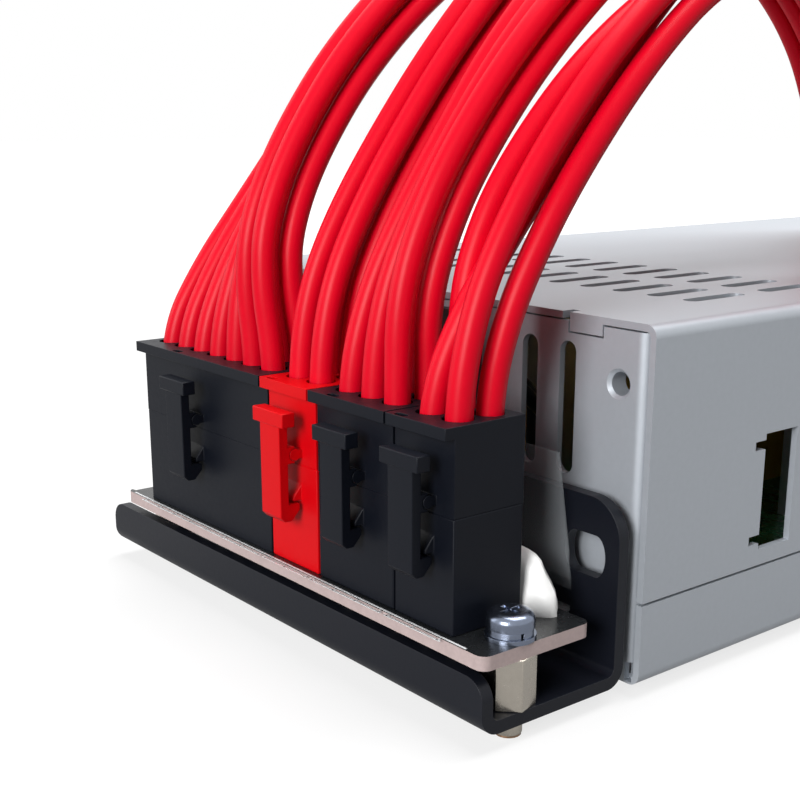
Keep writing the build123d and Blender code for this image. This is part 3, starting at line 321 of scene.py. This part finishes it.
# %% Round the edges of moulded pieces
def rounded(node, width, reshape=None, segments=2, angle=0.6):
    """A copy of a node with narrow round edges, its points first moved by reshape, in millimetres."""
    work = bmesh.new()
    work.from_mesh(nodes[node].data)
    bmesh.ops.remove_doubles(work, verts=work.verts, dist=1e-6)
    bmesh.ops.dissolve_limit(work, angle_limit=0.02, verts=work.verts, edges=work.edges)
    if reshape:
        for point in work.verts:
            point.co = reshape(point.co / MM) * MM
    mesh = bpy.data.meshes.new(node + "_rounded")
    work.to_mesh(mesh)
    work.free()
    piece = bpy.data.objects.new(node + "_rounded", mesh)
    bpy.context.scene.collection.objects.link(piece)
    if width:
        bevel = piece.modifiers.new("edge", "BEVEL")
        bevel.width = width * MM
        bevel.segments = segments
        bevel.limit_method = "ANGLE"
        bevel.angle_limit = angle
        bevel.use_clamp_overlap = True
    for polygon in mesh.polygons:
        polygon.use_smooth = True
    mesh.set_sharp_from_angle(angle=0.9)
    weigh = piece.modifiers.new("weigh", "WEIGHTED_NORMAL")
    weigh.keep_sharp = True
    solid = bpy.data.meshes.new_from_object(piece.evaluated_get(bpy.context.evaluated_depsgraph_get()))
    piece.modifiers.clear()
    piece.data = solid
    solid.materials.clear()
    solid.materials.append(dress[node])
    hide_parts(node)
    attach(piece, nodes[node]["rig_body"])
    return piece


bpy.context.view_layer.update()
for cable in COLUMNS:
    for kind, width in (("header_", 0.18), ("plug_", 0.2), ("far_plug_", 0.2), ("latch_", 0.18)):
        rounded(kind + cable, width)

# %% [markdown]
# ## Bracket and board
# The photograph shows that the bracket's back plate stands a little off the front wall, on the spacers
# of its screws, and that its slot is short, tall and near the side. The standoffs have one flat towards
# the camera, and the circuit board's cut edges show their pale core.

# %% Bracket
PLATE_GAP = 1.6  # from the back plate to the front wall
BRACKET_BEND = 3.6  # how far the back plate and its bend reach in front of the wall
PLATE_CORNER = 4.7  # its rounded corners lie above this, down from its top
SLOT_HALF = (3.5, 1.75)  # reaches past the slot's edge, across and up
SLOT_OLD = (33.3, 15.5)  # the slot's middle in the solid, out from the bracket's middle and up
SLOT_NEW = (35.3, 16.5)  # and in the photograph
SLOT_SCALE = (6.0 / 6.8, 4.8 / 3.3)
BRACKET_MIDDLE = middle("bracket")
PLATE_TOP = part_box("bracket")[1][2] / MM
PLATE_RISE = 0.8  # how much higher the plate stands


def stand_off(place):
    """Move the back plate off the wall, raise its top edge and reshape its slots."""
    if place.y < WALL_Y - BRACKET_BEND:
        return place
    across = place.x - BRACKET_MIDDLE
    side = 1 if across > 0 else -1
    if abs(abs(across) - SLOT_OLD[0]) < SLOT_HALF[0] and abs(place.z - SLOT_OLD[1]) < SLOT_HALF[1]:
        place.x = BRACKET_MIDDLE + side * (SLOT_NEW[0] + (abs(across) - SLOT_OLD[0]) * SLOT_SCALE[0])
        place.z = SLOT_NEW[1] + (place.z - SLOT_OLD[1]) * SLOT_SCALE[1]
    elif place.z > PLATE_TOP - PLATE_CORNER:
        place.z += PLATE_RISE
    place.y -= PLATE_GAP
    return place


def head_forward(place):
    """The screws' heads go with the back plate, and their shanks stay in the wall."""
    if place.y < WALL_Y + 0.1:
        place.y -= PLATE_GAP
    return place


rounded("bracket", 0.2, stand_off)
rounded("bracket_screws", 0, head_forward)


def own_mesh(name, work, material, smooth=True):
    """A piece that no CAD node stands for, from a bmesh in millimetres; it rides on the supply."""
    bmesh.ops.scale(work, vec=(MM, MM, MM), verts=work.verts)
    mesh = bpy.data.meshes.new(name)
    work.to_mesh(mesh)
    work.free()
    for polygon in mesh.polygons:
        polygon.use_smooth = smooth
    mesh.set_sharp_from_angle(angle=0.7)
    mesh.materials.append(material)
    piece = bpy.data.objects.new(name, mesh)
    bpy.context.scene.collection.objects.link(piece)
    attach(piece, "supply")
    return piece


SPACER_RADIUS = 2.9
SCREW_X = (-15.8, 15.2)
SCREW_Z = CASE_Z + 15.0
spacer = bmesh.new()
for x in SCREW_X:
    place = Matrix.Translation((x, WALL_Y - PLATE_GAP / 2, SCREW_Z)) @ Matrix.Rotation(pi / 2, 4, "X")
    bmesh.ops.create_cone(
        spacer,
        cap_ends=True,
        segments=32,
        radius1=SPACER_RADIUS,
        radius2=SPACER_RADIUS,
        depth=PLATE_GAP,
        matrix=place,
    )
own_mesh("bracket_spacers", spacer, zinc_screw)

# %% Standoffs, their screws and the board
washer_low, washer_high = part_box("board_washers")
WASHER_RADIUS = 2.9
BOARD_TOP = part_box("breakout_board")[1][2] / MM
BOARD_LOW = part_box("breakout_board")[0][2] / MM
stud_x = (washer_low[0] / MM + WASHER_RADIUS, washer_high[0] / MM - WASHER_RADIUS)
stud_y = (washer_low[1] + washer_high[1]) / 2 / MM
STACK_WIDTH = 0.94  # the screws and washers against their solids
STACK_HEIGHT = 0.88
turn = Matrix.Rotation(radians(-29), 3, "Z")


def nearest_stud(place):
    """The foot of the axis of the stud that a point belongs to."""
    return Vector((min(stud_x, key=lambda x: abs(x - place.x)), stud_y, 0))


def turned(place):
    """Turn a standoff about its own axis."""
    axis = nearest_stud(place)
    return axis + turn @ (place - axis)


def slimmer(place):
    """Draw a screw or washer in towards its axis and the board."""
    axis = nearest_stud(place)
    out = place - axis
    if place.z > BOARD_TOP - 0.1:
        out.z = BOARD_TOP + (out.z - BOARD_TOP) * STACK_HEIGHT
        out.x *= STACK_WIDTH
        out.y *= STACK_WIDTH
    return axis + out


BOARD_TRIM = 0.9  # how much further in the board's left end is
board_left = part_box("breakout_board")[0][0] / MM


def trimmed(place):
    """Move the board's left end in."""
    if place.x < board_left + 0.1:
        place.x += BOARD_TRIM
    return place


rounded("standoffs", 0.12, turned)
rounded("board_screws", 0.08, slimmer)
rounded("board_washers", 0.06, slimmer)
board = rounded("breakout_board", 0, trimmed)
board.data.materials.append(board_edge)
for polygon in board.data.polygons:
    polygon.material_index = 1 if abs(polygon.normal.z) < 0.5 else 0

# %% Printed lines and a painted edge highlight on the board
LINE_WIDTH = 0.22
LINE_HEIGHT = 0.04
INK_GAP = 0.45  # from a header to the line in front of it
TICK_LENGTH = 0.35
SHELL_MARGIN = 0.6  # from a header's side to its first pin's cell
white_lines = bmesh.new()


def white_bar(x0, y0, x1, y1):
    """A white line on the board's top, from one point to another along an axis: the printed lines, and
    a painted highlight at the front edge.
    """
    place = Matrix.Translation(((x0 + x1) / 2, (y0 + y1) / 2, BOARD_TOP + LINE_HEIGHT / 2))
    size = Matrix.Diagonal((abs(x1 - x0) + LINE_WIDTH, abs(y1 - y0) + LINE_WIDTH, LINE_HEIGHT, 1))
    bmesh.ops.create_cube(white_lines, size=1, matrix=place @ size)


for cable, columns in COLUMNS.items():
    low, high = (Vector(corner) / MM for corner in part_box("header_" + cable))
    front = low.y - INK_GAP
    white_bar(low.x + LINE_WIDTH, front, high.x - LINE_WIDTH, front)
    for column in range(columns + 1):
        tick = low.x + SHELL_MARGIN + column * PITCH
        white_bar(tick, front, tick, front + TICK_LENGTH)
EDGE_HIGHLIGHT_IN = 0.3  # from the board's front edge to the painted highlight along it
board_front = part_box("breakout_board")[0][1] / MM
board_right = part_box("breakout_board")[1][0] / MM
# This white line along the board's front edge is a painted highlight, not print: it stands in for the
# glint on the edge.
white_bar(board_left + 2, board_front + EDGE_HIGHLIGHT_IN, board_right - 3, board_front + EDGE_HIGHLIGHT_IN)
own_mesh("printed_lines", white_lines, white_ink, smooth=False)

# %% [markdown]
# ## Sealant
# A bead of white silicone was pressed in behind the right header. It is an uneven dome, so a squashed
# sphere is cut off at the board and pushed about by smooth noise.

# %% Sealant bead
BEAD_MIDDLE = Vector((29.4, -73.35, BOARD_TOP))
BEAD_REACH = Vector((7.4, 2.35, 6.9))
bead = bmesh.new()
bmesh.ops.create_uvsphere(bead, u_segments=40, v_segments=24, radius=1)
for point in bead.verts:
    bump = 1 + 0.09 * noise.noise(point.co * 1.7) + 0.03 * noise.noise(point.co * 5)
    point.co = BEAD_MIDDLE + point.co * BEAD_REACH * bump
    point.co.z = max(point.co.z, BOARD_TOP)
blob = own_mesh("sealant_bead", bead, sealant)
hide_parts("silicone_bead")

# %% [markdown]
# ## Threads and solder
# The stud ends under the bracket are threaded, and each pin of a header ends in a cone of solder under
# the board. Both are one small form many times over, so a Geometry Nodes tree sets rings or cones on a
# few points: up to a given count of them, a given step apart.


# %% Repeating tree
def build_repeat():
    """Cut cones, as thread rings or solder cones, repeated upwards from every point of the given mesh.
    """
    group = bpy.data.node_groups.new("repeat_on_points", "GeometryNodeTree")
    face = group.interface
    face.new_socket("Points", in_out="INPUT", socket_type="NodeSocketGeometry")
    for label, kind, value in (
        ("Count", "NodeSocketInt", 5),
        ("Step", "NodeSocketFloat", 0.0004),
        ("Radius", "NodeSocketFloat", 0.001),
        ("Tip Radius", "NodeSocketFloat", 0.0),
        ("Height", "NodeSocketFloat", 0.0003),
    ):
        face.new_socket(label, in_out="INPUT", socket_type=kind).default_value = value
    face.new_socket("Material", in_out="INPUT", socket_type="NodeSocketMaterial")
    face.new_socket("Mesh", in_out="OUTPUT", socket_type="NodeSocketGeometry")
    make, wire = group.nodes.new, group.links.new
    given, result = make("NodeGroupInput"), make("NodeGroupOutput")
    step = make("ShaderNodeCombineXYZ")
    wire(given.outputs["Step"], step.inputs["Z"])
    line = make("GeometryNodeMeshLine")
    wire(given.outputs["Count"], line.inputs["Count"])
    wire(step.outputs["Vector"], line.inputs["Offset"])
    cone = make("GeometryNodeMeshCone")
    cone.inputs["Vertices"].default_value = 24
    wire(given.outputs["Radius"], cone.inputs["Radius Bottom"])
    wire(given.outputs["Tip Radius"], cone.inputs["Radius Top"])
    wire(given.outputs["Height"], cone.inputs["Depth"])
    stack = make("GeometryNodeInstanceOnPoints")
    wire(line.outputs["Mesh"], stack.inputs["Points"])
    wire(cone.outputs["Mesh"], stack.inputs["Instance"])
    spread = make("GeometryNodeInstanceOnPoints")
    wire(given.outputs["Points"], spread.inputs["Points"])
    wire(stack.outputs["Instances"], spread.inputs["Instance"])
    real = make("GeometryNodeRealizeInstances")
    wire(spread.outputs["Instances"], real.inputs["Geometry"])
    paint = make("GeometryNodeSetMaterial")
    wire(real.outputs["Geometry"], paint.inputs["Geometry"])
    wire(given.outputs["Material"], paint.inputs["Material"])
    wire(paint.outputs["Geometry"], result.inputs["Mesh"])
    return group


repeat_tree = build_repeat()


def repeated(name, points, slot, **values):
    """A plain mesh of the repeating tree's result on some points, given in millimetres."""
    mesh = bpy.data.meshes.new(name)
    mesh.from_pydata([Vector(p) * MM for p in points], [], [])
    piece = bpy.data.objects.new(name, mesh)
    bpy.context.scene.collection.objects.link(piece)
    nodes_used = piece.modifiers.new("repeat", "NODES")
    nodes_used.node_group = repeat_tree
    for item in repeat_tree.interface.items_tree:
        key = item.name.replace(" ", "_").lower()
        if item.in_out == "INPUT" and key in values:
            nodes_used[item.identifier] = values[key]
    solid = bpy.data.meshes.new_from_object(piece.evaluated_get(bpy.context.evaluated_depsgraph_get()))
    piece.modifiers.clear()
    piece.data = solid
    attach(piece, "supply")
    return piece


# %% Threads and solder cones
STUD_RADIUS = 1.25
THREAD_PITCH = 0.45
THREAD_FOOT = 0.12  # the lowest ring's middle above the floor
THREAD_PROUD = 0.16
stud_foot = [(x, stud_y, THREAD_FOOT) for x in stud_x]
repeated(
    "stud_threads",
    stud_foot,
    "plated_steel",
    count=4,
    step=THREAD_PITCH * MM,
    radius=(STUD_RADIUS + THREAD_PROUD) * MM,
    tip_radius=STUD_RADIUS * 0.9 * MM,
    height=THREAD_PITCH * 0.8 * MM,
    material=brown_brass,
)
SOLDER_HEIGHT = 1.1
solder_foot = []
for cable, columns in COLUMNS.items():
    for column in range(columns):
        for row in (0, 1):
            pin_x = plug_middle[cable] + (column - (columns - 1) / 2) * PITCH
            pin_y = WALL_Y - HEADER_FRONT + SHELL_DEPTH / 2 + (row - 0.5) * PITCH
            solder_foot.append((pin_x, pin_y, BOARD_LOW - SOLDER_HEIGHT))
repeated(
    "solder_cones",
    solder_foot,
    "brass_pins",
    count=1,
    radius=0.4 * MM,
    tip_radius=1.0 * MM,
    height=SOLDER_HEIGHT * MM,
    material=tinned,
)

# %% [markdown]
# ## Red wires
# Twenty-eight limp silicone wires leave the plugs, lean back over the case and come down to the plugs
# of the next device, which lie on the cover out of the photograph. Each cable has a spine of a few
# given points, and its wires keep their places round it, closer together where they hang free.
# A NURBS curve that those points control bends as softly as silicone does.

# %% Wire routes
MID_Y = -HEADER_FRONT + SHELL_DEPTH / 2
START_Z = PLUG_TOP - WIRE_HOLE - CASE_Z
spines = {
    "14_way": (
        (0, MID_Y, START_Z, 1, 0),
        (0, MID_Y, 33.2, 1, 0),
        (0.2, -15.6, 41.5, 0.94, 0.5),
        (0.6, -13.4, 48.5, 0.88, 0.9),
        (1.2, -8.4, 57.5, 0.82, 1.1),
        (2.3, -0.3, 69, 0.8, 1.1),
        (3.8, 10.5, 80, 0.8, 0.8),
        (5.9, 25, 89, 0.8, 0.4),
        (8.2, 44, 94.5, 0.8, 0),
        (10.3, 64, 94, 0.8, 0),
        (11.9, 82, 87.5, 0.8, 0),
        (12.8, 96.5, 75.5, 0.8, 0),
        (13, 106, 60.5, 0.85, 0),
        (12.8, 114.5, 49.5, 0.95, 0),
        (12.6, 124, FAR_Z, 1, 0),
        (12.6, 126 + WIRE_HOLE, FAR_Z, 1, 0),
    ),
    "red_4_way": (
        (0, MID_Y, START_Z, 1, 0),
        (0, MID_Y, 33.4, 1, 0),
        (0.2, -15.9, 41.5, 0.94, 0.5),
        (0.6, -13.5, 48.5, 0.88, 1),
        (1.5, -8.6, 57, 0.82, 1),
        (2.8, 0, 68.5, 0.8, 0.5),
        (4.2, 11.5, 80.5, 0.8, 0),
        (6, 26.5, 90.5, 0.8, 0),
        (8.4, 45.5, 96, 0.8, 0),
        (10.6, 65, 95, 0.8, 0),
        (12.2, 83, 88, 0.8, 0),
        (13.1, 97, 75.5, 0.8, 0),
        (13.4, 106, 60.5, 0.85, 0),
        (13.3, 114.5, 49.5, 0.95, 0),
        (13.3, 124, FAR_Z, 1, 0),
        (13.3, 126 + WIRE_HOLE, FAR_Z, 1, 0),
    ),
    "6_way": (
        (0, MID_Y, START_Z, 1, 0),
        (0, MID_Y, 33.4, 1, 0),
        (0.3, -15.9, 41.5, 0.94, 0.6),
        (0.8, -13.6, 48.5, 0.88, 1),
        (1.7, -9.2, 57, 0.82, 1.2),
        (3.2, -1, 68.8, 0.8, 0.8),
        (4.8, 11, 80.6, 0.8, 0.4),
        (6.8, 26.5, 90.2, 0.8, 0),
        (9.1, 45.5, 95.6, 0.8, 0),
        (11.5, 65, 94.6, 0.8, 0),
        (13.1, 83, 87.6, 0.8, 0),
        (14, 97, 75.3, 0.8, 0),
        (14.3, 106, 60.5, 0.85, 0),
        (14.2, 114.5, 49.5, 0.95, 0),
        (14.2, 124, FAR_Z, 1, 0),
        (14.2, 126 + WIRE_HOLE, FAR_Z, 1, 0),
    ),
    "4_way": (
        (0, MID_Y, START_Z, 1, 0),
        (0, MID_Y, 33.4, 1, 0),
        (0.4, -15.3, 41.2, 0.94, 0.45),
        (1, -12.9, 47.8, 0.88, 0.85),
        (1.9, -8, 56.5, 0.82, 1.1),
        (2.9, 1, 67.5, 0.8, 1),
        (3.6, 12, 76.5, 0.8, 0.6),
        (4, 24, 80.5, 0.8, 0.2),
        (4.1, 36.5, 78, 0.8, 0),
        (4, 45.5, 69, 0.82, 0),
        (3.9, 50.5, 58, 0.9, 0),
        (3.8, 58.5, 49.2, 1, 0),
        (3.8, 70, FAR_Z, 1, 0),
        (3.8, 72 + WIRE_HOLE, FAR_Z, 1, 0),
    ),
}
# How far each wire strays from its place where that counts fully, to the right and back: for each
# column, the latch side's wire and then the other
strays = {
    "14_way": (
        ((0, 7.5), (0, 7.2)),
        ((0, 6.2), (0, 6)),
        ((0, 5), (0.1, 4.6)),
        ((0.2, 2.5), (0.2, 2.2)),
        ((0, 0), (0.1, -0.3)),
        ((0.1, -3.8), (0, -3.6)),
        ((0, -4.2), (0.2, -4.1)),
    ),
    "red_4_way": (((0, 1), (-0.2, 0.9)), ((0, 1.2), (0.3, 1.2))),
    "6_way": (((0, 2), (-0.2, 1.9)), ((0, 0.6), (0, 0.7)), ((0, -1.2), (0.3, -1.3))),
    "4_way": (((1.5, 3.6), (-2.2, -2.3)), ((-0.3, 0.3), (0.8, 0.7))),
}


def wire_route(across, spine, stray, column, row, columns):
    """One wire's points, in metres: row 0 is on the latch side, the outside of the bend."""
    route = []
    for k, (x, y, z, squeeze, counts) in enumerate(spine):
        before, after = spine[max(k - 1, 0)], spine[min(k + 1, len(spine) - 1)]
        along_y, along_z = after[1] - before[1], after[2] - before[2]
        if k < 2:
            along_y, along_z = 0, 1
        if k >= len(spine) - 2:
            along_y, along_z = 1, 0
        length = hypot(along_y, along_z)
        out = (0.5 - row) * PITCH * squeeze
        side = (column - (columns - 1) / 2) * PITCH * squeeze
        route.append(
            Vector(
                (
                    across + x + side + stray[0] * counts,
                    WALL_Y + y - out * along_z / length + stray[1] * counts,
                    CASE_Z + z + out * along_y / length,
                )
            )
            * MM
        )
    return route


# %% Wires
def centreline(curve):
    """The drawn line of a curve with no bevel, as points."""
    probe = bpy.data.objects.new("probe", curve)
    bpy.context.scene.collection.objects.link(probe)
    bpy.context.view_layer.update()
    mesh = bpy.data.meshes.new_from_object(probe.evaluated_get(bpy.context.evaluated_depsgraph_get()))
    points = [v.co.copy() for v in mesh.vertices]
    bpy.data.objects.remove(probe)
    bpy.data.meshes.remove(mesh)
    return points


WIRE_RADIUS = 1.5
for cable, columns in COLUMNS.items():
    for column in range(columns):
        for row in (0, 1):
            stray = strays[cable][column][row]
            route = wire_route(plug_middle[cable], spines[cable], stray, column, row, columns)
            curve = bpy.data.curves.new(f"wire_{cable}_{column}_{row}", "CURVE")
            curve.dimensions = "3D"
            line = curve.splines.new("NURBS")
            line.points.add(len(route) - 1)
            for point, place in zip(line.points, route):
                point.co = (*place, 1)
            line.order_u = 3
            line.use_endpoint_u = True
            line.resolution_u = 10
            curve.resolution_u = 10
            drawn = centreline(curve)
            curve.bevel_depth = WIRE_RADIUS * MM
            curve.bevel_resolution = 3
            curve.use_fill_caps = True
            curve.materials.append(silicone_red)
            wire_piece = bpy.data.objects.new(curve.name, curve)
            bpy.context.scene.collection.objects.link(wire_piece)
            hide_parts("wires_" + cable)
            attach(wire_piece, "supply")

# %% [markdown]
# ## Floor, backdrop and light
# The photograph is a cut-out on white with a faint shadow. A pale floor catches that shadow, and the
# world is white to the camera and to reflections but dimmer as a light, so the steel mirrors a bright
# room while the lamps alone shape the object.

# %% Floor
floor_mesh = bpy.data.meshes.new("floor")
reach = 3.0
floor_mesh.from_pydata(
    [(-reach, -reach, 0), (reach, -reach, 0), (reach, reach, 0), (-reach, reach, 0)], [], [(0, 1, 2, 3)]
)
floor = bpy.data.objects.new("floor", floor_mesh)
bpy.context.scene.collection.objects.link(floor)
floor_paint = bpy.data.materials.new("floor_paint")
floor_paint.use_nodes = True
ground = floor_paint.node_tree
ground.nodes.remove(ground.nodes["Principled BSDF"])
matt = ground.nodes.new("ShaderNodeBsdfDiffuse")
matt.inputs["Color"].default_value = (0.2, 0.2, 0.2, 1)
glow = ground.nodes.new("ShaderNodeEmission")
rays = ground.nodes.new("ShaderNodeLightPath")
spot = ground.nodes.new("ShaderNodeTexCoord")
far = ground.nodes.new("ShaderNodeVectorMath")
far.operation = "LENGTH"
ground.links.new(spot.outputs["Object"], far.inputs[0])
whiter = ground.nodes.new("ShaderNodeMapRange")
whiter.interpolation_type = "SMOOTHSTEP"
whiter.inputs["From Min"].default_value = 0.15
whiter.inputs["From Max"].default_value = 0.5
whiter.inputs["To Min"].default_value = 0.76
whiter.inputs["To Max"].default_value = 1.0
ground.links.new(far.outputs["Value"], whiter.inputs["Value"])
seen = ground.nodes.new("ShaderNodeMath")
seen.operation = "MULTIPLY"
ground.links.new(rays.outputs["Is Camera Ray"], seen.inputs[0])
ground.links.new(whiter.outputs["Result"], seen.inputs[1])
shine = ground.nodes.new("ShaderNodeMath")
shine.operation = "MULTIPLY"
shine.inputs[1].default_value = 0.3
ground.links.new(rays.outputs["Is Glossy Ray"], shine.inputs[0])
either = ground.nodes.new("ShaderNodeMath")
either.operation = "MAXIMUM"
ground.links.new(seen.outputs[0], either.inputs[0])
ground.links.new(shine.outputs[0], either.inputs[1])
ground.links.new(either.outputs[0], glow.inputs["Strength"])
both = ground.nodes.new("ShaderNodeAddShader")
ground.links.new(matt.outputs["BSDF"], both.inputs[0])
ground.links.new(glow.outputs["Emission"], both.inputs[1])
ground.links.new(both.outputs["Shader"], ground.nodes["Material Output"].inputs["Surface"])
floor_mesh.materials.append(floor_paint)

# %% World
world = bpy.data.worlds.new("studio")
bpy.context.scene.world = world
world.use_nodes = True
sky = world.node_tree
rays = sky.nodes.new("ShaderNodeLightPath")
seen = sky.nodes.new("ShaderNodeMath")
seen.operation = "MAXIMUM"
sky.links.new(rays.outputs["Is Camera Ray"], seen.inputs[0])
mirrored = sky.nodes.new("ShaderNodeMath")
mirrored.operation = "MAXIMUM"
sky.links.new(rays.outputs["Is Glossy Ray"], mirrored.inputs[0])
sky.links.new(rays.outputs["Is Transmission Ray"], mirrored.inputs[1])
sky.links.new(mirrored.outputs[0], seen.inputs[1])
level = sky.nodes.new("ShaderNodeMapRange")
level.inputs["To Min"].default_value = 0.14
level.inputs["To Max"].default_value = 1.0
sky.links.new(seen.outputs[0], level.inputs["Value"])
sky.links.new(level.outputs["Result"], sky.nodes["Background"].inputs["Strength"])
sky.nodes["Background"].inputs["Color"].default_value = (1, 1, 1, 1)


# %% Lamps
def softbox(name, place, target, size, power):
    lamp = bpy.data.lights.new(name, "AREA")
    lamp.shape = "RECTANGLE"
    lamp.size, lamp.size_y = size
    lamp.energy = power
    holder = bpy.data.objects.new(name, lamp)
    holder.location = place
    holder.rotation_euler = (Vector(target) - Vector(place)).to_track_quat("-Z", "Y").to_euler()
    bpy.context.scene.collection.objects.link(holder)


softbox("key", (0.32, -0.95, 0.33), (0, -0.05, 0.03), (0.45, 0.45), 11)
softbox("fill", (-0.7, -0.7, 0.4), (0, -0.05, 0.03), (0.6, 0.6), 2)
softbox("top", (0.0, 0.2, 0.9), (0, 0, 0.03), (0.8, 0.8), 14)

bpy.context.scene.view_settings.view_transform = "Standard"
